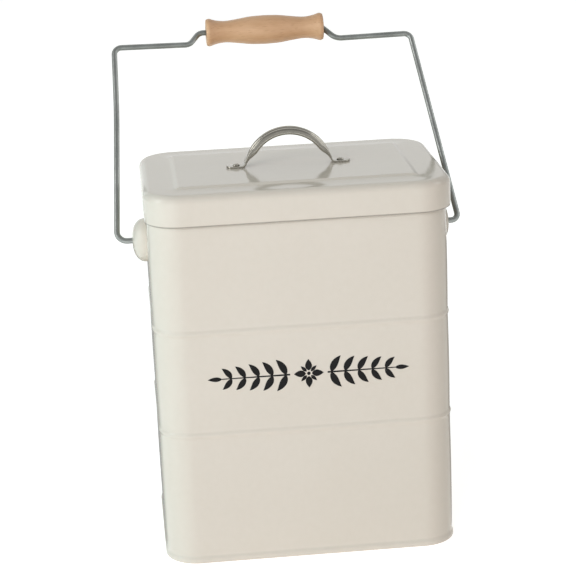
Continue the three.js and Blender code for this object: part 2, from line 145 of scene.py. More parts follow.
# Bail, bent flat and then leaned back about the ears. The two bars of its top drop below the
# grip's line, and each slopes down a little towards its crank.
WIRE = 3.8
WIRE_END_GAP = 2.0
BAIL_TILT = math.radians(38.0)
BAIL_REACH = 151.5
BAIL_FOOT_HALF = 113.2
BAIL_TOP_HALF = 101.8
BAIL_SHIFT = -1.4
BAIL_RACK = -4.8
BAIL_BOW = 1.1
BAIL_BOW_HEIGHT = 96.0
BAIL_BOW_RADIUS = 1000.0
BAIL_TOP_BEND = 5.0
LEFT_FOOT_BEND = 6.5
RIGHT_FOOT_BEND = 4.6
LEFT_BAR_DROP = 7.9
RIGHT_BAR_DROP = 9.3
BAR_SLOPE = 0.7
LEFT_CRANK_GAP = 4.8
LEFT_CRANK_RUN = 7.0
LEFT_CRANK_BEND = 6.0
RIGHT_CRANK_GAP = -1.4
RIGHT_CRANK_RUN = 9.6
RIGHT_CRANK_OUTER_BEND = 9.0
RIGHT_CRANK_INNER_BEND = 4.5

# Grip, with its profiles as distance from its end, and radius there
GRIP_LENGTH = 80.6
GRIP_SHIFT = 1.8
GRIP_BORE = 2.15
GRIP_SINK_RADIUS = 4.8
GRIP_SINK_DEPTH = 4.5
GRIP_SINK = (
    (GRIP_SINK_DEPTH, GRIP_BORE),
    (0.25, GRIP_SINK_RADIUS - 0.15),
    (0.08, GRIP_SINK_RADIUS + 0.05),
    (0.0, GRIP_SINK_RADIUS + 0.3),
)
GRIP_EDGE = ((0.0, 8.0), (0.12, 8.55), (0.4, 8.9))
GRIP_PROFILE = (
    (0.9, 9.1),
    (2.0, 9.45),
    (3.4, 9.2),
    (5.4, 8.5),
    (8.6, 7.8),
    (12.6, 7.4),
    (17.0, 7.65),
    (23.0, 8.45),
    (31.0, 9.5),
    (40.3, 9.85),
)
BAIL_TOP_MIDDLE = BAIL_SHIFT + BAIL_RACK
GRIP_MIDDLE = BAIL_TOP_MIDDLE + GRIP_SHIFT

# Front ornament: a rosette with a spray of paired leaves on each side
ORNAMENT_CENTRE = (1.5, 125.5)
ORNAMENT_RISE = 0.1
ORNAMENT_SINK = 0.06
STEM_START = 12.0
STEM_STOP = 56.5
LEAF_PAIRS = 5
LEAF_SPACING = 8.7
STEM_HALF_WIDTH = 0.55
STEM_TAPER = 0.25
LEAF_FIRST = 2.5
LEAF_LENGTH = 12.4
LEAF_SHORTENING = 0.75
LEAF_WIDTH = 4.5
LEAF_NARROWING = 0.22
LEAF_ANGLE = 58.0
LEAF_ANGLE_DROP = 2.5
LEAF_CURL = 34.0
LEAF_SKEW = 0.8
LEAF_FULLNESS = 0.9
TIP_LEAF = (9.0, 3.0)
TIP_LEAF_TUCK = 1.0
PETALS = 8
LARGE_PETAL = (7.6, 4.4)
SMALL_PETAL = (5.2, 2.2)
PETAL_ROOT = 1.9
DOT_RADIUS = 1.15
BLADE_EDGE = 0.03

# Camera, fitted to the photograph
CAMERA_AZIMUTH = -0.08424
CAMERA_ELEVATION = 0.28085
CAMERA_ROLL = -0.04332
CAMERA_TARGET = (-0.003732, 0.0, 0.163124)
CAMERA_DISTANCE = 1.300756
CAMERA_LENS = 122.36
CAMERA_SENSOR = 36.0

# Lamps: name, azimuth, elevation, size in metres, power and colour
LAMPS = (
    ("front softbox", -32.0, 27.0, (1.6, 1.2), 23.5, (0.956, 0.94, 1.0)),
    ("left softbox", -75.0, 12.0, (1.0, 1.0), 7.3, (0.315, 0.923, 1.0)),
    ("back softbox", 172.0, 38.0, (1.6, 1.2), 3.4, (0.76, 1.0, 0.7)),
)
LAMP_AIM = (0.0, 0.0, 0.12)
LAMP_DISTANCE = 2.1

# Light of the surroundings: its strength as seen or mirrored, and its strength and tint as fill
WHITE = (1.0, 1.0, 1.0, 1.0)
BLACK = (0.0, 0.0, 0.0, 1.0)
WORLD_SEEN = 1.0
WORLD_FILL = 0.3
WORLD_TINT = (1.0, 0.99, 0.95, 1.0)
FLOOR_SEEN = 0.72
FLOOR_FILL = 0.344
FLOOR_TINT = (1.0, 0.884, 0.811, 1.0)
FLOOR_COLOUR = (0.8, 0.8, 0.8, 1.0)
FLOOR_ROUGHNESS = 0.9
FLOOR_HALF = 6.0
FLOOR_DROP = 0.0002

# Cards that only reflections show: a name, a brightness and the corners in metres
CARDS = (
    ("left floor shade", 0.3, (
        (-0.1, -0.04, 0.0005), (-0.085, 0.02, 0.0005),
        (-0.06, 0.72, 0.0005), (-0.75, 0.72, 0.0005),
    )),
    ("right floor shade", 0.3, (
        (0.1, -0.04, 0.0005), (0.75, 0.55, 0.0005), (0.2, 0.72, 0.0005), (0.13, 0.1, 0.0005),
    )),
    ("right back shade", 0.62, (
        (0.46, 1.5, 0.3), (1.0, 1.5, 0.3), (1.0, 1.5, 0.64), (0.46, 1.5, 0.64),
    )),
    ("left back shade", 0.55, (
        (-0.8, 1.5, 0.1), (-1.7, 0.35, 0.1), (-1.7, 0.35, 1.5), (-0.8, 1.5, 1.5),
    )),
    ("dark front", 0.65, (
        (-2.6, -2.4, 0.0), (2.6, -2.4, 0.0), (2.6, -2.4, 2.6), (-2.6, -2.4, 2.6),
    )),
    ("dark ceiling", 0.38, (
        (-2.6, -2.4, 2.6), (2.6, -2.4, 2.6), (2.6, 0.4, 2.6), (-2.6, 0.4, 2.6),
    )),
    ("left reflector", 3.6, (
        (-1.6, -0.5, 0.75), (-1.6, -0.1, 0.75), (-1.35, -0.1, 1.7), (-1.35, -0.5, 1.7),
    )),
    ("left window", 4.0, (
        (-1.745, -0.304, 0.4), (-1.59, -0.78, 0.4), (-1.59, -0.78, 0.72), (-1.745, -0.304, 0.72),
    )),
    ("right reflector", 2.4, (
        (1.6, -0.4, 0.7), (1.6, 0.1, 0.7), (1.4, 0.1, 1.7), (1.4, -0.4, 1.7),
    )),
)

# Fineness of the meshes, with the places of the columns about the lapped seam
CORNER_STEPS = 18
FRONT_STEPS = 36
SIDE_STEPS = 24
SEAM_COLUMNS = (6.5, 5.6, 5.0, 4.5, SEAM_HALF, 2.0, 0.0, -2.0, 0.06 - SEAM_HALF, -SEAM_HALF, -5.0)
SEAM_SIDE = 8.0
ARC_STEPS = 10
HEM_STEPS = 8
BEAD_ROWS = 14
PANEL_ROWS = 14
DOME_SIDES = 64
LEAF_STEPS = 14
STEM_STEPS = 24
DOT_STEPS = 16
RIVET_SIDES = 40
RIVET_STEPS = 15
STEP_SHARES = [step / 10 for step in range(11)]
PAD_TIP_STEPS = 14
ARCH_STEPS = 90
STRAP_STEPS = 72
STRAP_INNER_STEPS = 24
EAR_STEPS = 26
GRIP_SIDES = 72
GRIP_CURVE_STEPS = 6
WIRE_SIDES = 28
WIRE_BEND_STEPS = 12


# Mesh tools
def new_mesh_object(name, points, faces):
    mesh = bpy.data.meshes.new(name)
    mesh.from_pydata([tuple(point) for point in points], [], faces)
    mesh.validate()
    mesh.update()
    obj = bpy.data.objects.new(name, mesh)
    bpy.context.scene.collection.objects.link(obj)
    return obj


def soften(obj, sharp_degrees=40.0):
    obj.data.shade_smooth()
    obj.data.set_sharp_from_angle(angle=math.radians(sharp_degrees))


def loft(name, rings, closed):
    """One body from rings of points in millimetres, joined end to start or else capped."""
    count = len(rings[0])
    points = [np.asarray(point, float) * MM for ring in rings for point in ring]
    faces = []
    last = len(rings) if closed else len(rings) - 1
    for ring in range(last):
        here = ring * count
        above = ((ring + 1) % len(rings)) * count
        for side in range(count):
            following = (side + 1) % count
            faces.append((here + side, here + following, above + following, above + side))
    if not closed:
        top = (len(rings) - 1) * count
        faces.append(tuple(reversed(range(count))))
        faces.append(tuple(range(top, top + count)))
    return new_mesh_object(name, points, faces)


def smooth_step(value):
    value = min(1.0, max(0.0, value))
    return value * value * (3.0 - 2.0 * value)


# The tin's outline seen from above: place, outward direction and flatness there
def back_columns(half_flat):
    """Places across the back, with extra ones at the two sides of the lapped seam."""
    outer = list(np.linspace(half_flat, SEAM_SIDE, SIDE_STEPS // 2, endpoint=False))
    return [*outer, SEAM_SIDE, *SEAM_COLUMNS, -SEAM_SIDE, *(-x for x in reversed(outer))]


def flatness(place, half):
    """1 in the middle of a flat side and 0 where its corners begin."""
    return math.cos(math.pi / 2 * place / half) ** BULGE_POWER


def bulge_share(flat):
    return CORNER_BULGE + (PANEL_BULGE - CORNER_BULGE) * flat


def outline_columns():
    flat_x = BODY_WIDTH / 2 - BODY_CORNER
    flat_y = BODY_DEPTH / 2 - BODY_CORNER
    columns = []

    def straight(places, fixed, along_x, outward, half):
        for place in places[1:-1]:
            at = (place, fixed) if along_x else (fixed, place)
            columns.append((at, outward, flatness(place, half)))

    def corner(side_x, side_y, start):
        for step in range(CORNER_STEPS + 1):
            angle = start + math.pi / 2 * step / CORNER_STEPS
            outward = (math.cos(angle), math.sin(angle))
            centre = (side_x * flat_x, side_y * flat_y)
            at = (centre[0] + BODY_CORNER * outward[0], centre[1] + BODY_CORNER * outward[1])
            columns.append((at, outward, 0.0))

    straight(back_columns(flat_x), BODY_DEPTH / 2, True, (0.0, 1.0), flat_x)
    corner(-1, 1, math.pi / 2)
    sides = list(np.linspace(flat_y, -flat_y, SIDE_STEPS))
    straight(sides, -BODY_WIDTH / 2, False, (-1.0, 0.0), flat_y)
    corner(-1, -1, math.pi)
    front = list(np.linspace(-flat_x, flat_x, FRONT_STEPS))
    straight(front, -BODY_DEPTH / 2, True, (0.0, -1.0), flat_x)
    corner(1, -1, 3 * math.pi / 2)
    straight(sides[::-1], BODY_WIDTH / 2, False, (1.0, 0.0), flat_y)
    corner(1, 1, 0.0)
    return columns


COLUMNS = outline_columns()


def ring_at(height, offset, bulge=0.0, seam=0.0):
    ring = []
    for (x, y), (out_x, out_y), flat in COLUMNS:
        push = offset + bulge * bulge_share(flat)
        if seam and y > BODY_DEPTH / 2 - 0.01:
            push += seam * seam_rise(x)
        ring.append((x + out_x * push, y + out_y * push, height))
    return ring


def seam_rise(x):
    """The lap at the back: a crisp edge on one side and a soft one on the other."""
    if x <= -SEAM_HALF:
        return 0.0
    return SEAM_RISE * (1.0 - smooth_step((x - SEAM_HALF) / SEAM_SOFT_EDGE))


def bulge_at(height):
    """The wall swells a little between its beads."""
    for low, high in zip(BULGE_STOPS, BULGE_STOPS[1:]):
        if low < height < high:
            return math.sin(math.pi * (height - low) / (high - low)) ** BULGE_POWER
    return 0.0


def bead_at(height):
    for middle in BEAD_HEIGHTS:
        along = (height - middle) / BEAD_HALF_HEIGHT
        if abs(along) < 1.0:
            return BEAD_RISE * 0.5 * (1.0 + math.cos(math.pi * along))
    return 0.0


def wall_heights(bottom, top):
    heights = []
    edges = [bottom]
    for middle in BEAD_HEIGHTS:
        edges += [middle - BEAD_HALF_HEIGHT, middle + BEAD_HALF_HEIGHT]
    edges.append(top)
    for index, (low, high) in enumerate(zip(edges, edges[1:])):
        rows = BEAD_ROWS if index % 2 else PANEL_ROWS
        heights += list(np.linspace(low, high, rows, endpoint=False))
    heights.append(top)
    for stop in (SEAM_START, SEAM_STOP):
        after = stop + SEAM_END_ROUND
        heights += [stop - SEAM_END_RUN, stop, after, after + SEAM_END_RUN]
    return sorted(heights)


def seam_at(height):
    start = smooth_step((height - SEAM_START) / SEAM_END_RUN)
    stop = smooth_step((SEAM_STOP - height) / SEAM_END_RUN)
    return start * stop


def arc(offset, height, radius, start, stop, steps=ARC_STEPS):
    """Places on an arc in a section, with angles in quarter turns from straight outwards."""
    places = []
    for step in range(steps + 1):
        angle = math.pi / 2 * (start + (stop - start) * step / steps)
        places.append((height + radius * math.sin(angle), offset + radius * math.cos(angle)))
    return places


def make_wall():
    curl = RIM_HEIGHT - RIM_CURL
    heights = wall_heights(WALL_FOOT, curl)
    rings = []
    for height in heights[:-1]:
        rings.append(ring_at(height, bead_at(height), bulge_at(height), seam_at(height)))
    for height, offset in arc(-RIM_CURL, curl, RIM_CURL, 0, 2):
        rings.append(ring_at(height, offset))
    rings.append(ring_at(curl - RIM_HOOK, -2 * RIM_CURL))
    rings.append(ring_at(curl - RIM_HOOK, -2 * RIM_CURL + SHEET))
    for height, offset in arc(-RIM_CURL, curl, RIM_CURL - SHEET, 2, 0):
        rings.append(ring_at(height, offset))
    for height in reversed(heights[:-1]):
        rings.append(ring_at(height, bead_at(height) - SHEET, bulge_at(height)))
    wall = loft("tin_wall", rings, True)
    soften(wall)
    return wall


def make_base():
    """A pan folded up round the wall's foot, with the paint running smoothly over its edge."""
    bend = BASE_RISE - BASE_EDGE_RADIUS
    edge = FOLD_SEAT + FOLD_EDGE
    rings = [ring_at(0.0, bend - BASE_FLAT_INSET)]
    for height, offset in arc(bend, BASE_EDGE_RADIUS, BASE_EDGE_RADIUS, -1, 0):
        rings.append(ring_at(height, offset))
    for share in STEP_SHARES:
        offset = edge + (BASE_RISE - edge) * (1.0 - smooth_step(share))
        rings.append(ring_at(BASE_FOLD + BASE_FLARE * share, offset))
    rings.append(ring_at(BASE_FOLD + BASE_FLARE + FOLD_TIP, FOLD_SEAT))
    rings.append(ring_at(WALL_FOOT, FOLD_SEAT))
    rings.append(ring_at(SHEET, FOLD_SEAT - PAN_INSET))
    rings.append(ring_at(SHEET, bend - BASE_FLAT_INSET))
    base = loft("tin_base", rings, False)
    soften(base)
    return base


# Lid
def lid_section():
    """Heights and offsets from the middle of the underside, out and down, and back over it."""
    shoulder = LID_TOP - LID_SHOULDER
    bottom = LID_TOP - LID_DEPTH
    hem_top = bottom + HEM_WIDTH
    outer = LID_OVERHANG
    inner = outer - SHEET
    fold = outer - 2 * SHEET
    step_foot = outer - PANEL_MARGIN
    places = [(PANEL_TOP - SHEET, step_foot - PANEL_STEP - PANEL_LIP)]
    places += panel_step(step_foot, -SHEET)[::-1]
    places.append((LID_TOP - SHEET, outer - LID_SHOULDER - BORDER_RUN))
    places += arc(outer - LID_SHOULDER, shoulder, LID_SHOULDER - SHEET, 1, 0, SHOULDER_STEPS)
    places.append((hem_top + HEM_CLEAR, inner))
    places.append((hem_top + HEM_ROUND, inner - HEM_ROUND_ACROSS))
    places.append((hem_top, fold + HEM_ROUND_ACROSS))
    places.append((hem_top - HEM_ROUND, fold))
    places += arc(outer - SHEET, bottom + SHEET, SHEET, -2, 0, HEM_STEPS)
    places.append((bottom + SKIRT_START, outer))
    places += arc(outer - LID_SHOULDER, shoulder, LID_SHOULDER, 0, 1, SHOULDER_STEPS)
    places.append((LID_TOP, outer - LID_SHOULDER - BORDER_RUN))
    places += panel_step(step_foot, 0.0)
    places.append((PANEL_TOP, step_foot - PANEL_STEP - PANEL_LIP))
    return places


def panel_step(foot, lift):
    """The soft step from the lid's border up to its raised panel."""
    places = []
    for share in STEP_SHARES:
        climb = PANEL_RISE * (0.5 * share + 0.5 * smooth_step(share))
        places.append((LID_TOP + lift + climb, foot - PANEL_STEP * share))
    return places


def make_lid():
    rings = []
    for height, offset in lid_section():
        rings.append([(x + LID_SHIFT, y, z) for x, y, z in ring_at(height, offset)])
    lid = loft("lid_pan", rings, False)
    soften(lid)
    return lid


# Handle
def handle_crest():
    """The handle's crest line as (x, z, slope, distance from the start of the arch)."""
    end = HANDLE_LENGTH / 2
    rise = HANDLE_HEIGHT - PAD_DEPTH
    radius = ((HANDLE_SPAN / 2) ** 2 + rise**2) / (2 * rise)
    drop = rise - radius
    bend_x = math.sqrt((radius + FOOT_BEND) ** 2 - (FOOT_BEND - drop) ** 2)
    tilt = math.atan2(FOOT_BEND - drop, bend_x)
    left = []
    for step in range(PAD_TIP_STEPS + 1):
        reach = STRAP_WIDTH / 2 * (1 - math.cos(math.pi / 2 * step / PAD_TIP_STEPS))
        left.append((-end + reach, PAD_DEPTH, 0.0, 0.0))
    for reach in PAD_FLAT_PLACES:
        left.append((-end + reach, PAD_DEPTH, 0.0, 0.0))
    for share in STEP_SHARES:
        slope = (math.pi / 2 - tilt) * share
        x = -bend_x + FOOT_BEND * math.sin(slope)
        left.append((x, PAD_DEPTH + FOOT_BEND * (1 - math.cos(slope)), slope, 0.0))
    arch = []
    sweep = math.pi - 2 * tilt
    for step in range(1, ARCH_STEPS):
        angle = math.pi - tilt - sweep * step / ARCH_STEPS
        z = PAD_DEPTH + drop + radius * math.sin(angle)
        along = radius * sweep * min(step, ARCH_STEPS - step) / ARCH_STEPS
        arch.append((radius * math.cos(angle), z, angle - math.pi / 2, along))
    right = [(-x, z, -slope, along) for x, z, slope, along in reversed(left)]
    return left + arch + right


def groove_share(angle):
    """How deep the strap's two grooves are at an angle round its section, from 0 to 1."""
    return sum(math.exp(-(((angle - middle) / GROOVE_WIDTH) ** 2)) for middle in GROOVE_ANGLES)


def strap_ring(place):
    """The strap's section at one place: over its crest, and back along its hollow underside."""
    x, z, slope, along = place
    swell = smooth_step(along / STRAP_SWELL)
    groove = GROOVE_DEPTH * smooth_step((along - GROOVE_START) / GROOVE_FADE)
    depth = PAD_DEPTH + (STRAP_DEPTH - PAD_DEPTH) * swell
    roundness = PAD_SQUARENESS + (2.0 - PAD_SQUARENESS) * swell
    from_end = HANDLE_LENGTH / 2 - abs(x)
    cut = 1.0 - min(1.0, from_end / (STRAP_WIDTH / 2))
    narrowing = math.sqrt(max(0.01, 1.0 - cut * cut))
    tip = PAD_TIP_LIFT * smooth_step(1.0 - from_end / PAD_TIP_RUN)
    ring = []

    def skin(half, height, steps, backwards, grooved):
        tuck = STRAP_TUCK * swell
        for step in range(steps + 1):
            angle = (math.pi + 2 * tuck) * (steps - step if backwards else step) / steps - tuck
            side = math.copysign(1.0, math.cos(angle))
            y = side * half * abs(math.cos(angle)) ** (2 / roundness)
            above = math.copysign(1.0, math.sin(angle))
            up = above * height * abs(math.sin(angle)) ** (2 / roundness)
            if grooved:
                up -= groove * groove_share(angle) * math.sin(angle)
                y -= 0.5 * groove * groove_share(angle) * math.cos(angle)
            lift = up - depth + tip
            ring.append((
                x + HANDLE_SHIFT - lift * math.sin(slope),
                y,
                z + PANEL_TOP + PAD_SEAT + lift * math.cos(slope),
            ))

    skin(STRAP_WIDTH / 2 * narrowing, depth, STRAP_STEPS, False, True)
    inner = (STRAP_WIDTH / 2 - STRAP_SHEET) * narrowing
    skin(inner, depth - STRAP_SHEET, STRAP_INNER_STEPS, True, False)
    return ring


def make_handle():
    rings = [strap_ring(place) for place in handle_crest()]
    handle = loft("lid_strap_handle", rings, False)
    turn_outward(handle)
    soften(handle, 50.0)
    return handle


def turn_outward(obj):
    """Makes the faces of one closed body point outwards."""
    mesh = obj.data
    volume = 0.0
    for face in mesh.polygons:
        corners = [mesh.vertices[index].co for index in face.vertices]
        for second, third in zip(corners[1:], corners[2:]):
            volume += corners[0].dot(second.cross(third))
    if volume < 0:
        mesh.flip_normals()


# Turned pieces
def turned(name, profile, sides, axis_x, centre):
    """A closed profile of (along, radius) spun about an axis along X."""
    rings = []
    for along, radius in profile:
        ring = []
        for side in range(sides):
            angle = 2 * math.pi * side / sides
            y = radius * math.cos(angle)
            z = radius * math.sin(angle)
            ring.append((centre[0] + axis_x * along, centre[1] + y, centre[2] + z))
        rings.append(ring)
    obj = loft(name, rings, True)
    turn_outward(obj)
    return obj


def ear_skin(radius, depth, hole):
    places = []
    last = math.acos((hole / radius) ** (EAR_ROUNDNESS / 2))
    for step in range(EAR_STEPS + 1):
        angle = last * step / EAR_STEPS
        across = radius * math.cos(angle) ** (2 / EAR_ROUNDNESS)
        along = depth * math.sin(angle) ** (2 / EAR_ROUNDNESS) if angle else 0.0
        places.append((along, across))
    return places


def make_ear(name, side):
    hole = WIRE / 2 + EAR_CLEARANCE
    outside = ear_skin(EAR_RADIUS, EAR_DEPTH, hole + EAR_HOLE_EDGE)
    inside = ear_skin(EAR_RADIUS - EAR_SHEET, EAR_DEPTH - EAR_SHEET, hole)
    lip = [(EAR_DEPTH - drop, hole + out) for drop, out in EAR_LIP]
    profile = outside + lip + inside[::-1]
    centre = (side * (BODY_WIDTH / 2 + EAR_SEAT), 0.0, EAR_HEIGHT)
    ear = turned(name, profile, DOME_SIDES, side, centre)
    soften(ear, 55.0)
    return ear


def bail_place(x, along):
    """A place in the bail's own plane, leaned back about the ears."""
    return (x, along * math.sin(BAIL_TILT), EAR_HEIGHT + along * math.cos(BAIL_TILT))


def spline_profile(points, steps):
    """A smooth curve through the points, evenly spread between each two."""
    places = []
    count = len(points)
    for index in range(count - 1):
        before = np.array(points[max(0, index - 1)])
        here = np.array(points[index])
        after = np.array(points[index + 1])
        beyond = np.array(points[min(count - 1, index + 2)])
        for step in range(steps):
            t = step / steps
            weights = (
                -0.5 * t + t**2 - 0.5 * t**3,
                1 - 2.5 * t**2 + 1.5 * t**3,
                0.5 * t + 2 * t**2 - 1.5 * t**3,
                -0.5 * t**2 + 0.5 * t**3,
            )
            place = sum(w * p for w, p in zip(weights, (before, here, after, beyond)))
            places.append(tuple(place))
    places.append(tuple(points[-1]))
    return places


def make_grip():
    half = GRIP_LENGTH / 2
    profile = (*GRIP_SINK, *GRIP_EDGE, *spline_profile(GRIP_PROFILE, GRIP_CURVE_STEPS))
    left = [(along - half, radius) for along, radius in profile]
    right = [(-along, radius) for along, radius in reversed(left[:-1])]
    centre = bail_place(GRIP_MIDDLE, BAIL_REACH)
    grip = turned("turned_grip", left + right, GRIP_SIDES, 1, centre)
    soften(grip, 50.0)
    return grip


# Geometry Nodes
def new_tree(name):
    tree = bpy.data.node_groups.new(name, "GeometryNodeTree")
    tree.interface.new_socket("Geometry", in_out="INPUT", socket_type="NodeSocketGeometry")
    tree.interface.new_socket("Geometry", in_out="OUTPUT", socket_type="NodeSocketGeometry")
    return tree


def tree_input(tree, name, kind, value):
    socket = tree.interface.new_socket(name, in_out="INPUT", socket_type=kind)
    if value is not None:
        socket.default_value = value
    return socket


def node(tree, kind, **settings):
    made = tree.nodes.new(kind)
    for key, value in settings.items():
        setattr(made, key, value)
    return made


def finish_tree(tree, inputs, geometry):
    realize = node(tree, "GeometryNodeRealizeInstances")
    finish = node(tree, "GeometryNodeSetMaterial")
    output = node(tree, "NodeGroupOutput")
    tree.links.new(geometry, realize.inputs[0])
    tree.links.new(realize.outputs[0], finish.inputs["Geometry"])
    tree.links.new(inputs.outputs["Material"], finish.inputs["Material"])
    tree.links.new(finish.outputs[0], output.inputs[0])


def apply_tree(obj, tree, values):
    """Runs a tree on an object with the given inputs, and keeps the result as a plain mesh."""
    modifier = obj.modifiers.new("shape", "NODES")
    modifier.node_group = tree
    for item in tree.interface.items_tree:
        if item.item_type == "SOCKET" and item.in_out == "INPUT" and item.name in values:
            modifier[item.identifier] = values[item.name]
    graph = bpy.context.evaluated_depsgraph_get()
    graph.update()
    mesh = bpy.data.meshes.new_from_object(obj.evaluated_get(graph))
    obj.modifiers.remove(modifier)
    made = bpy.data.objects.new(obj.name + "_made", mesh)
    name = obj.name
    bpy.data.objects.remove(obj)
    made.name = name
    bpy.context.scene.collection.objects.link(made)
    return made


def wire_tree():
    """A round wire swept along a line of corners, each bent to its own radius."""
    tree = new_tree("bent wire")
    tree_input(tree, "Wire Diameter", "NodeSocketFloat", WIRE * MM)
    tree_input(tree, "Wire Sides", "NodeSocketInt", WIRE_SIDES)
    tree_input(tree, "Steps in a Bend", "NodeSocketInt", WIRE_BEND_STEPS)
    tree_input(tree, "Material", "NodeSocketMaterial", None)
    inputs = node(tree, "NodeGroupInput")
    curve = node(tree, "GeometryNodeMeshToCurve")
    bends = node(tree, "GeometryNodeInputNamedAttribute", data_type="FLOAT")
    bends.inputs["Name"].default_value = "bend"
    fillet = node(tree, "GeometryNodeFilletCurve", mode="POLY")
    half = node(tree, "ShaderNodeMath", operation="MULTIPLY")
    half.inputs[1].default_value = 0.5
    circle = node(tree, "GeometryNodeCurvePrimitiveCircle")
    sweep = node(tree, "GeometryNodeCurveToMesh")
    sweep.inputs["Fill Caps"].default_value = True
    smooth = node(tree, "GeometryNodeSetShadeSmooth")
    link = tree.links.new
    link(inputs.outputs["Geometry"], curve.inputs[0])
    link(curve.outputs[0], fillet.inputs["Curve"])
    link(bends.outputs["Attribute"], fillet.inputs["Radius"])
    link(inputs.outputs["Steps in a Bend"], fillet.inputs["Count"])
    link(inputs.outputs["Wire Diameter"], half.inputs[0])
    link(half.outputs[0], circle.inputs["Radius"])
    link(inputs.outputs["Wire Sides"], circle.inputs["Resolution"])
    link(fillet.outputs[0], sweep.inputs["Curve"])
    link(circle.outputs[0], sweep.inputs["Profile Curve"])
    link(sweep.outputs[0], smooth.inputs[0])
    finish_tree(tree, inputs, smooth.outputs[0])
    return tree


def make_bail(material):
    end = BODY_WIDTH / 2 + WIRE_END_GAP
    left_foot = -BAIL_FOOT_HALF + BAIL_SHIFT
    left_top = -BAIL_TOP_HALF + BAIL_TOP_MIDDLE
    left_height = BAIL_REACH - LEFT_BAR_DROP
    left_crank = GRIP_MIDDLE - GRIP_LENGTH / 2 - LEFT_CRANK_GAP
    right_height = BAIL_REACH - RIGHT_BAR_DROP
    right_crank = GRIP_MIDDLE + GRIP_LENGTH / 2 + RIGHT_CRANK_GAP
    bow = left_foot + (left_top - left_foot) * BAIL_BOW_HEIGHT / left_height + BAIL_BOW
    corners = [
        (-end, 0.0, 0.0),
        (left_foot, 0.0, LEFT_FOOT_BEND),
        (bow, BAIL_BOW_HEIGHT, BAIL_BOW_RADIUS),
        (left_top, left_height, BAIL_TOP_BEND),
        (left_crank - LEFT_CRANK_RUN, left_height - BAR_SLOPE, LEFT_CRANK_BEND),
        (left_crank, BAIL_REACH, LEFT_CRANK_BEND),
        (right_crank, BAIL_REACH, RIGHT_CRANK_INNER_BEND),
        (right_crank + RIGHT_CRANK_RUN, right_height - BAR_SLOPE, RIGHT_CRANK_OUTER_BEND),
        (BAIL_TOP_HALF + BAIL_TOP_MIDDLE, right_height, BAIL_TOP_BEND),
        (BAIL_FOOT_HALF + BAIL_SHIFT, 0.0, RIGHT_FOOT_BEND),
        (end, 0.0, 0.0),
    ]
    points = [Vector(bail_place(x, along)) * MM for x, along, _ in corners]
    mesh = bpy.data.meshes.new("bail_loop_wire")
    mesh.from_pydata(points, [(i, i + 1) for i in range(len(points) - 1)], [])
    bend = mesh.attributes.new("bend", "FLOAT", "POINT")
    bend.data.foreach_set("value", [radius * MM for _, _, radius in corners])
    obj = bpy.data.objects.new("bail_loop_wire", mesh)
    bpy.context.scene.collection.objects.link(obj)
    bail = apply_tree(obj, wire_tree(), {"Wire Diameter": WIRE * MM, "Material": material})
    bail.data.set_sharp_from_angle(angle=math.radians(50))
    turn_outward(bail)
    return bail


def rivet_tree():
    """Rivets set at even steps along X, each a domed head on a shank with a flat tail."""
    tree = new_tree("rivets")
    tree_input(tree, "Rivet Count", "NodeSocketInt", 2)
    tree_input(tree, "First Rivet", "NodeSocketVector", None)
    tree_input(tree, "Rivet Spacing", "NodeSocketVector", None)
    tree_input(tree, "Material", "NodeSocketMaterial", None)
    inputs = node(tree, "NodeGroupInput")
    places = node(tree, "GeometryNodeMeshLine", mode="OFFSET")
    instance = node(tree, "GeometryNodeInstanceOnPoints")
    link = tree.links.new
    link(inputs.outputs["Rivet Count"], places.inputs["Count"])
    link(inputs.outputs["First Rivet"], places.inputs["Start Location"])
    link(inputs.outputs["Rivet Spacing"], places.inputs["Offset"])
    link(places.outputs[0], instance.inputs["Points"])
    link(inputs.outputs["Geometry"], instance.inputs["Instance"])
    finish_tree(tree, inputs, instance.outputs[0])
    return tree


def rivet_blank():
    """One rivet standing on Z, from its tail under the lid to its domed head."""
    tail_top = -SHEET - RIVET_TAIL_GAP
    head_foot = PAD_SEAT + PAD_DEPTH
    dome_foot = head_foot + RIVET_HEAD_EDGE
    tail_pole, head_pole = RIVET_POLES
    profile = [
        (tail_top - RIVET_TAIL_HEIGHT, tail_pole),
        (tail_top - RIVET_TAIL_HEIGHT, RIVET_TAIL - RIVET_TAIL_BEVEL),
        (tail_top - RIVET_TAIL_HEIGHT * RIVET_TAIL_FLAT, RIVET_TAIL),
        (tail_top, RIVET_TAIL),
        (tail_top, RIVET_SHANK),
        (head_foot, RIVET_SHANK),
        (head_foot, RIVET_HEAD - RIVET_HEAD_TUCK),
    ]
    for step in range(RIVET_STEPS):
        angle = math.pi / 2 * step / RIVET_STEPS
        radius = RIVET_HEAD * math.cos(angle)
        profile.append((dome_foot + RIVET_HEAD_HEIGHT * math.sin(angle), radius))
    profile.append((dome_foot + RIVET_HEAD_HEIGHT, head_pole))
    rings = []
    for height, radius in profile:
        ring = []
        for side in range(RIVET_SIDES):
            angle = 2 * math.pi * side / RIVET_SIDES
            ring.append((radius * math.cos(angle), radius * math.sin(angle), height))
        rings.append(ring)
    blank = loft("lid_rivets", rings, False)
    turn_outward(blank)
    soften(blank, 50.0)
    return blank


def make_rivets(material):
    first = ((HANDLE_SHIFT - RIVET_SPACING / 2) * MM, 0.0, PANEL_TOP * MM)
    values = {
        "Rivet Count": 2,
        "First Rivet": first,
        "Rivet Spacing": (RIVET_SPACING * MM, 0.0, 0.0),
        "Material": material,
    }
    return apply_tree(rivet_blank(), rivet_tree(), values)


# Front ornament: leaves and stems that follow the wall
def front_y(x, height):
    share = bulge_share(flatness(x, BODY_WIDTH / 2 - BODY_CORNER))
    return -BODY_DEPTH / 2 - bead_at(height) - bulge_at(height) * share


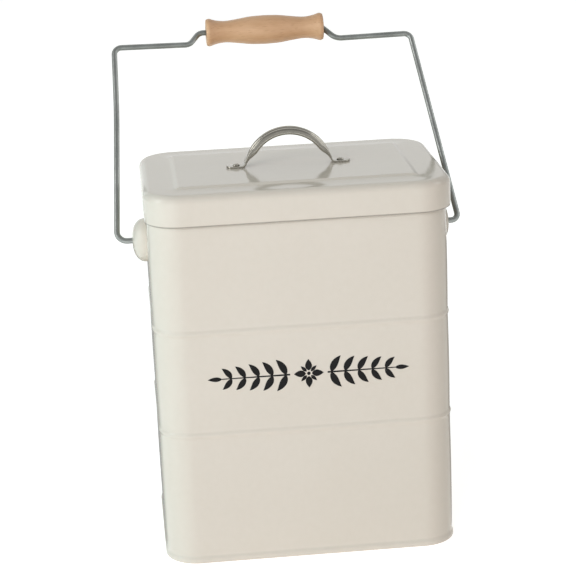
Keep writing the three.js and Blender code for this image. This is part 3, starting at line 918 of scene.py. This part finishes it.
def wall_place(x, height, lift):
    """A place on the front wall, given from the ornament's middle and lifted off the paint."""
    place_x = ORNAMENT_CENTRE[0] + x
    place_z = ORNAMENT_CENTRE[1] + height
    return (place_x * MM, (front_y(place_x, place_z) - lift) * MM, place_z * MM)


def add_blade(line, widths, points, faces):
    """Adds a closed strip along a line of (x, height), with its half width at each place."""
    first = len(points)
    for index, (x, height) in enumerate(line):
        before = line[max(0, index - 1)]
        after = line[min(len(line) - 1, index + 1)]
        run = after[0] - before[0]
        rise = after[1] - before[1]
        length = math.hypot(run, rise)
        for half in (-widths[index], widths[index]):
            place = (x - half * rise / length, height + half * run / length)
            points.append(wall_place(*place, ORNAMENT_RISE))
            points.append(wall_place(*place, -ORNAMENT_SINK))
    last = len(line) - 1
    for index in range(last):
        a = first + 4 * index
        b = a + 4
        faces.append((a, b, b + 2, a + 2))
        faces.append((a + 1, a + 3, b + 3, b + 1))
        faces.append((a, a + 1, b + 1, b))
        faces.append((a + 2, b + 2, b + 3, a + 3))
    end = first + 4 * last
    faces.append((first, first + 2, first + 3, first + 1))
    faces.append((end, end + 1, end + 3, end + 2))


def leaf(root, heading, length, width, curl):
    """A pointed leaf from its root, with its heading and curl in degrees."""
    x, height = root
    line = []
    widths = []
    for step in range(LEAF_STEPS + 1):
        share = step / LEAF_STEPS
        line.append((x, height))
        swell = math.sin(math.pi * share**LEAF_SKEW) ** LEAF_FULLNESS
        widths.append(max(BLADE_EDGE, width / 2 * swell))
        turn = math.radians(heading + curl * (share - 0.5))
        x += length / LEAF_STEPS * math.cos(turn)
        height += length / LEAF_STEPS * math.sin(turn)
    return line, widths


def spray(side):
    """One side's stem with its pairs of leaves, from the middle outwards."""
    blades = []
    shares = [step / STEM_STEPS for step in range(STEM_STEPS + 1)]
    stem = [(STEM_START + (STEM_STOP - STEM_START) * share, 0.0) for share in shares]
    blades.append((stem, [STEM_HALF_WIDTH - STEM_TAPER * share for share in shares]))
    for index in range(LEAF_PAIRS):
        root = STEM_START + LEAF_FIRST + index * LEAF_SPACING
        length = LEAF_LENGTH - LEAF_SHORTENING * index
        width = LEAF_WIDTH - LEAF_NARROWING * index
        for up in (-1, 1):
            heading = up * (LEAF_ANGLE - LEAF_ANGLE_DROP * index)
            blades.append(leaf((root, 0.0), heading, length, width, -up * LEAF_CURL))
    blades.append(leaf((STEM_STOP - TIP_LEAF_TUCK, 0.0), 0.0, *TIP_LEAF, 0.0))
    return [([(side * x, height) for x, height in line], widths) for line, widths in blades]


def rosette():
    """Four large petals and four small ones round a dot."""
    blades = []
    for turn in range(PETALS):
        heading = 360.0 / PETALS * turn
        out = math.radians(heading)
        root = (PETAL_ROOT * math.cos(out), PETAL_ROOT * math.sin(out))
        blades.append(leaf(root, heading, *(SMALL_PETAL if turn % 2 else LARGE_PETAL), 0.0))
    shares = [step / DOT_STEPS for step in range(DOT_STEPS + 1)]
    dot = [(DOT_RADIUS * math.cos(math.pi * (1 - share)), 0.0) for share in shares]
    widths = [max(BLADE_EDGE, DOT_RADIUS * math.sin(math.pi * share)) for share in shares]
    return [*blades, (dot, widths)]


def make_ornament():
    points = []
    faces = []
    for line, widths in [*spray(-1), *rosette(), *spray(1)]:
        add_blade(line, widths, points, faces)
    return new_mesh_object("front_ornament", points, faces)


# Sockets of a Mix node, which share their names: the factor, the two numbers or colours, and
# the mixed colour
MIX_FACTOR = 0
NUMBER_A, NUMBER_B = 2, 3
COLOUR_A, COLOUR_B = 6, 7
MIXED_COLOUR = 2


# Materials
def linear(red, green, blue):
    """A colour as seen on a screen, 0 to 255, as Blender's own value."""
    parts = []
    for value in (red, green, blue):
        share = value / 255
        parts.append(share / 12.92 if share <= 0.04045 else ((share + 0.055) / 1.055) ** 2.4)
    return (*parts, 1.0)


def new_material(name):
    material = bpy.data.materials.new(name)
    material.use_nodes = True
    return material, material.node_tree, material.node_tree.nodes["Principled BSDF"]


def shader_group(name, inputs, outputs):
    group = bpy.data.node_groups.new(name, "ShaderNodeTree")
    for label, kind, value in inputs:
        socket = group.interface.new_socket(label, in_out="INPUT", socket_type=kind)
        if value is not None:
            socket.default_value = value
    for label, kind in outputs:
        group.interface.new_socket(label, in_out="OUTPUT", socket_type=kind)
    return group, node(group, "NodeGroupInput"), node(group, "NodeGroupOutput")


def variation_group():
    """Soft blotches of colour and gloss: two colours mixed by noise at two scales."""
    group, inputs, outputs = shader_group(
        "soft variation",
        (
            ("Place", "NodeSocketVector", None),
            ("Colour", "NodeSocketColor", None),
            ("Other Colour", "NodeSocketColor", None),
            ("Blotch Scale", "NodeSocketFloat", 12.0),
            ("Fine Scale", "NodeSocketFloat", 160.0),
            ("Low Roughness", "NodeSocketFloat", 0.2),
            ("High Roughness", "NodeSocketFloat", 0.3),
        ),
        (
            ("Colour", "NodeSocketColor"),
            ("Roughness", "NodeSocketFloat"),
            ("Mask", "NodeSocketFloat"),
        ),
    )
    link = group.links.new
    blotch = node(group, "ShaderNodeTexNoise")
    blotch.inputs["Detail"].default_value = 3.0
    fine = node(group, "ShaderNodeTexNoise")
    fine.inputs["Detail"].default_value = 4.0
    both = node(group, "ShaderNodeMix", data_type="FLOAT")
    both.inputs[MIX_FACTOR].default_value = 0.35
    spread = node(group, "ShaderNodeMapRange")
    spread.inputs["From Min"].default_value = 0.32
    spread.inputs["From Max"].default_value = 0.68
    colour = node(group, "ShaderNodeMix", data_type="RGBA")
    gloss = node(group, "ShaderNodeMapRange")
    link(inputs.outputs["Place"], blotch.inputs["Vector"])
    link(inputs.outputs["Place"], fine.inputs["Vector"])
    link(inputs.outputs["Blotch Scale"], blotch.inputs["Scale"])
    link(inputs.outputs["Fine Scale"], fine.inputs["Scale"])
    link(blotch.outputs["Fac"], both.inputs[NUMBER_A])
    link(fine.outputs["Fac"], both.inputs[NUMBER_B])
    link(both.outputs[0], spread.inputs["Value"])
    link(spread.outputs["Result"], colour.inputs[MIX_FACTOR])
    link(inputs.outputs["Colour"], colour.inputs[COLOUR_A])
    link(inputs.outputs["Other Colour"], colour.inputs[COLOUR_B])
    link(spread.outputs["Result"], gloss.inputs["Value"])
    link(inputs.outputs["Low Roughness"], gloss.inputs["To Min"])
    link(inputs.outputs["High Roughness"], gloss.inputs["To Max"])
    link(colour.outputs[MIXED_COLOUR], outputs.inputs["Colour"])
    link(gloss.outputs["Result"], outputs.inputs["Roughness"])
    link(spread.outputs["Result"], outputs.inputs["Mask"])
    return group


def relief_group():
    """Height for a bump: a slow wave of the sheet and a fine grain, each with its own size."""
    group, inputs, outputs = shader_group(
        "surface relief",
        (
            ("Place", "NodeSocketVector", None),
            ("Wave Scale", "NodeSocketFloat", 18.0),
            ("Wave Height", "NodeSocketFloat", 1.0),
            ("Grain Scale", "NodeSocketFloat", 900.0),
            ("Grain Height", "NodeSocketFloat", 0.05),
        ),
        (("Height", "NodeSocketFloat"),),
    )
    link = group.links.new
    wave = node(group, "ShaderNodeTexNoise")
    wave.inputs["Detail"].default_value = 1.0
    grain = node(group, "ShaderNodeTexNoise")
    grain.inputs["Detail"].default_value = 2.0
    high = node(group, "ShaderNodeMath", operation="MULTIPLY")
    low = node(group, "ShaderNodeMath", operation="MULTIPLY")
    total = node(group, "ShaderNodeMath", operation="ADD")
    link(inputs.outputs["Place"], wave.inputs["Vector"])
    link(inputs.outputs["Place"], grain.inputs["Vector"])
    link(inputs.outputs["Wave Scale"], wave.inputs["Scale"])
    link(inputs.outputs["Grain Scale"], grain.inputs["Scale"])
    link(wave.outputs["Fac"], high.inputs[0])
    link(inputs.outputs["Wave Height"], high.inputs[1])
    link(grain.outputs["Fac"], low.inputs[0])
    link(inputs.outputs["Grain Height"], low.inputs[1])
    link(high.outputs[0], total.inputs[0])
    link(low.outputs[0], total.inputs[1])
    link(total.outputs[0], outputs.inputs["Height"])
    return group


VARIATION = variation_group()
RELIEF = relief_group()


def place_group(tree, group, place, values):
    made = node(tree, "ShaderNodeGroup", node_tree=group)
    tree.links.new(place, made.inputs["Place"])
    for name, value in values.items():
        made.inputs[name].default_value = value
    return made


def object_place(tree):
    return node(tree, "ShaderNodeTexCoord").outputs["Object"]


def stretched_place(tree, stretch):
    mapping = node(tree, "ShaderNodeMapping")
    mapping.inputs["Scale"].default_value = stretch
    tree.links.new(object_place(tree), mapping.inputs["Vector"])
    return mapping.outputs["Vector"]


def add_bump(tree, shader, height, strength, distance):
    bump = node(tree, "ShaderNodeBump")
    bump.inputs["Strength"].default_value = strength
    bump.inputs["Distance"].default_value = distance
    tree.links.new(height, bump.inputs["Height"])
    tree.links.new(bump.outputs["Normal"], shader.inputs["Normal"])


def ramp(tree, value, low, high, start, stop):
    """Turns a value's range from low to high into one from start to stop, held at its ends."""
    made = node(tree, "ShaderNodeMapRange")
    limits = {"From Min": low, "From Max": high, "To Min": start, "To Max": stop}
    for name, limit in limits.items():
        made.inputs[name].default_value = limit
    tree.links.new(value, made.inputs["Value"])
    return made.outputs["Result"]


def lay_over(tree, mask, under, over):
    """One plain colour laid over another colour where a mask says so."""
    colour = node(tree, "ShaderNodeMix", data_type="RGBA")
    colour.inputs[COLOUR_B].default_value = over
    tree.links.new(mask, colour.inputs[MIX_FACTOR])
    tree.links.new(under, colour.inputs[COLOUR_A])
    return colour.outputs[MIXED_COLOUR]


def surface(name, tone_values, stretch=None):
    """A material with the soft variation's colour and gloss, and its tree, shader and tone."""
    material, tree, shader = new_material(name)
    place = stretched_place(tree, stretch) if stretch else object_place(tree)
    tone = place_group(tree, VARIATION, place, tone_values)
    tree.links.new(tone.outputs["Colour"], shader.inputs["Base Color"])
    tree.links.new(tone.outputs["Roughness"], shader.inputs["Roughness"])
    return material, tree, shader, tone


def add_relief(tree, shader, values, strength, distance):
    relief = place_group(tree, RELIEF, object_place(tree), values)
    add_bump(tree, shader, relief.outputs["Height"], strength, distance)


def enamel_material(name):
    """The tin's paint, given with its tree, shader and tone so that more can be laid over it."""
    material, tree, shader, tone = surface(name, {
        "Colour": linear(224, 216, 203),
        "Other Colour": linear(220, 212, 198),
        "Blotch Scale": 9.0,
        "Fine Scale": 220.0,
        "Low Roughness": 0.09,
        "High Roughness": 0.14,
    })
    shader.inputs["IOR"].default_value = 1.5
    add_relief(tree, shader, {
        "Wave Scale": 14.0,
        "Wave Height": 1.0,
        "Grain Scale": 1100.0,
        "Grain Height": 0.02,
    }, 0.5, 0.0012)
    return material, tree, shader, tone


def lid_enamel_material():
    """The same paint with painted shade: a darker band at the lowest edge of the lid's hem, in
    place of the shadow line under the skirt.
    """
    material, tree, shader, tone = enamel_material("cream enamel paint of the lid")
    height = node(tree, "ShaderNodeSeparateXYZ")
    tree.links.new(object_place(tree), height.inputs[0])
    hem = LID_TOP - LID_DEPTH
    low, high = (hem + HEM_SHADE_BAND / 2) * MM, (hem + HEM_SHADE_BAND) * MM
    # Painted shade: the paint is darkened towards the hem's lowest edge, where the skirt's shadow
    # line falls
    painted_shade = ramp(tree, height.outputs["Z"], low, high, HEM_SHADE, 0.0)
    colour = lay_over(tree, painted_shade, tone.outputs["Colour"], linear(96, 88, 78))
    tree.links.new(colour, shader.inputs["Base Color"])
    return material


def nickel_material():
    material, tree, shader, _ = surface("bright nickel plate", {
        "Colour": linear(172, 169, 159),
        "Other Colour": linear(154, 151, 142),
        "Blotch Scale": 90.0,
        "Fine Scale": 900.0,
        "Low Roughness": 0.14,
        "High Roughness": 0.26,
    })
    shader.inputs["Metallic"].default_value = 1.0
    add_relief(tree, shader, {
        "Wave Scale": 160.0,
        "Wave Height": 0.6,
        "Grain Scale": 2400.0,
        "Grain Height": 0.06,
    }, 0.3, 0.0003)
    return material


def wire_material():
    material, tree, shader, _ = surface("galvanised drawn wire", {
        "Colour": linear(172, 176, 173),
        "Other Colour": linear(136, 140, 137),
        "Blotch Scale": 70.0,
        "Fine Scale": 1400.0,
        "Low Roughness": 0.32,
        "High Roughness": 0.5,
    })
    shader.inputs["Metallic"].default_value = 1.0
    add_relief(tree, shader, {
        "Wave Scale": 220.0,
        "Wave Height": 0.5,
        "Grain Scale": 2800.0,
        "Grain Height": 0.2,
    }, 0.4, 0.0003)
    return material


def beech_material():
    """Beech with its grain along the grip, and short darker flecks in it."""
    material, tree, shader, tone = surface("turned beech", {
        "Colour": linear(220, 178, 138),
        "Other Colour": linear(204, 158, 117),
        "Blotch Scale": 160.0,
        "Fine Scale": 900.0,
        "Low Roughness": 0.3,
        "High Roughness": 0.42,
    }, (0.16, 1.0, 1.0))
    fleck = node(tree, "ShaderNodeTexVoronoi")
    fleck.inputs["Scale"].default_value = 900.0
    tree.links.new(stretched_place(tree, (0.12, 1.0, 1.0)), fleck.inputs["Vector"])
    mask = ramp(tree, fleck.outputs["Distance"], 0.05, 0.3, 0.45, 0.0)
    colour = lay_over(tree, mask, tone.outputs["Colour"], linear(170, 112, 74))
    tree.links.new(colour, shader.inputs["Base Color"])
    add_bump(tree, shader, tone.outputs["Mask"], 0.25, 0.0003)
    return material


def print_material():
    material, _, shader, _ = surface("black stove print", {
        "Colour": linear(16, 15, 15),
        "Other Colour": linear(24, 23, 23),
        "Blotch Scale": 120.0,
        "Fine Scale": 900.0,
        "Low Roughness": 0.5,
        "High Roughness": 0.6,
    })
    shader.inputs["Specular IOR Level"].default_value = 0.2
    return material


# Studio
def seen_or_mirrored(tree):
    """1 for what the camera sees straight, mirrored or through glass, and 0 for other light."""
    path = node(tree, "ShaderNodeLightPath")
    first = node(tree, "ShaderNodeMath", operation="ADD", use_clamp=True)
    second = node(tree, "ShaderNodeMath", operation="ADD", use_clamp=True)
    tree.links.new(path.outputs["Is Camera Ray"], first.inputs[0])
    tree.links.new(path.outputs["Is Glossy Ray"], first.inputs[1])
    tree.links.new(first.outputs[0], second.inputs[0])
    tree.links.new(path.outputs["Is Transmission Ray"], second.inputs[1])
    return second.outputs[0]


def light_by_ray(tree, colour, strength, seen_level, fill_level, fill_tint):
    """White at one strength for seen and mirrored rays, and a tint at another for the rest."""
    tint = node(tree, "ShaderNodeMix", data_type="RGBA")
    tint.inputs[COLOUR_A].default_value = fill_tint
    tint.inputs[COLOUR_B].default_value = WHITE
    level = node(tree, "ShaderNodeMapRange")
    level.inputs["To Min"].default_value = fill_level
    level.inputs["To Max"].default_value = seen_level
    seen = seen_or_mirrored(tree)
    tree.links.new(seen, tint.inputs[MIX_FACTOR])
    tree.links.new(seen, level.inputs["Value"])
    tree.links.new(tint.outputs[MIXED_COLOUR], colour)
    tree.links.new(level.outputs["Result"], strength)


def make_world():
    world = bpy.data.worlds.new("studio")
    bpy.context.scene.world = world
    world.use_nodes = True
    background = world.node_tree.nodes["Background"]
    colour, strength = background.inputs["Color"], background.inputs["Strength"]
    light_by_ray(world.node_tree, colour, strength, WORLD_SEEN, WORLD_FILL, WORLD_TINT)


def make_floor():
    sides = ((-1, -1), (1, -1), (1, 1), (-1, 1))
    corners = [(FLOOR_HALF * x, FLOOR_HALF * y, 0.0) for x, y in sides]
    floor = new_mesh_object("studio_floor", corners, [(0, 1, 2, 3)])
    floor.location.z = -FLOOR_DROP
    material, tree, shader = new_material("pale floor")
    shader.inputs["Base Color"].default_value = FLOOR_COLOUR
    shader.inputs["Roughness"].default_value = FLOOR_ROUGHNESS
    colour, strength = shader.inputs["Emission Color"], shader.inputs["Emission Strength"]
    light_by_ray(tree, colour, strength, FLOOR_SEEN, FLOOR_FILL, FLOOR_TINT)
    floor.data.materials.append(material)


def make_lamp(name, azimuth, elevation, size, power, colour):
    """A soft box facing the tin, from an azimuth that is 0 in front and grows to the right."""
    data = bpy.data.lights.new(name, "AREA")
    data.shape = "RECTANGLE"
    data.size = size[0]
    data.size_y = size[1]
    data.energy = power
    data.color = colour
    lamp = bpy.data.objects.new(name, data)
    across = math.radians(azimuth)
    up = math.radians(elevation)
    flat = math.cos(up)
    direction = Vector((math.sin(across) * flat, -math.cos(across) * flat, math.sin(up)))
    lamp.location = Vector(LAMP_AIM) + direction * LAMP_DISTANCE
    lamp.rotation_euler = (-direction).to_track_quat("-Z", "Y").to_euler()
    lamp.visible_glossy = False
    bpy.context.scene.collection.objects.link(lamp)


def make_card(name, level, corners):
    """A card of one even brightness that shows only in reflections."""
    card = new_mesh_object(name, corners, [tuple(range(len(corners)))])
    material, _, shader = new_material(name)
    shader.inputs["Base Color"].default_value = BLACK
    shader.inputs["Roughness"].default_value = 1.0
    shader.inputs["Emission Color"].default_value = WHITE
    shader.inputs["Emission Strength"].default_value = level
    card.data.materials.append(material)
    card.visible_camera = False
    card.visible_diffuse = False
    card.visible_shadow = False
    card.visible_transmission = False


def make_camera():
    flat = math.cos(CAMERA_ELEVATION)
    back = Vector((
        math.sin(CAMERA_AZIMUTH) * flat,
        -math.cos(CAMERA_AZIMUTH) * flat,
        math.sin(CAMERA_ELEVATION),
    ))
    level = Vector((math.cos(CAMERA_AZIMUTH), math.sin(CAMERA_AZIMUTH), 0.0))
    upright = back.cross(level)
    roll = Matrix.Rotation(CAMERA_ROLL, 3, back)
    right = roll @ level
    up = roll @ upright
    place = Vector(CAMERA_TARGET) + back * CAMERA_DISTANCE
    data = bpy.data.cameras.new("camera")
    data.lens = CAMERA_LENS
    data.sensor_width = CAMERA_SENSOR
    camera = bpy.data.objects.new("camera", data)
    turn = Matrix((right, up, back)).transposed().to_4x4()
    camera.matrix_world = Matrix.Translation(place) @ turn
    bpy.context.scene.collection.objects.link(camera)
    bpy.context.scene.camera = camera


# Assembly
def dress(obj, material, body, slot, *nodes):
    if not obj.data.materials:
        obj.data.materials.append(material)
    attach(obj, body)
    if nodes:
        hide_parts(*nodes)


def main():
    scene = bpy.context.scene
    scene.view_settings.view_transform = "Standard"
    make_camera()
    make_world()
    make_floor()
    for lamp in LAMPS:
        make_lamp(*lamp)
    for card in CARDS:
        make_card(*card)

    enamel = enamel_material("cream enamel paint")[0]
    lid_enamel = lid_enamel_material()
    nickel = nickel_material()
    wire = wire_material()
    beech = beech_material()
    ink = print_material()

    dress(make_wall(), enamel, "tin", "cream_enamel", "body_wall")
    dress(make_base(), enamel, "tin", "cream_enamel", "base_pan")
    dress(make_ear("left_ear", -1), enamel, "tin", "cream_enamel", "ear_left")
    dress(make_ear("right_ear", 1), enamel, "tin", "cream_enamel", "ear_right")
    dress(make_ornament(), ink, "tin", "cream_enamel")
    dress(make_lid(), lid_enamel, "lid", "cream_enamel", "lid")
    dress(make_handle(), nickel, "lid", "nickel_plate", "lid_handle")
    rivets = make_rivets(nickel)
    dress(rivets, nickel, "lid", "nickel_plate", "lid_rivet_left", "lid_rivet_right")
    dress(make_bail(wire), wire, "bail", "galvanised_wire", "bail_wire")
    dress(make_grip(), beech, "grip", "beech_wood", "grip")


main()
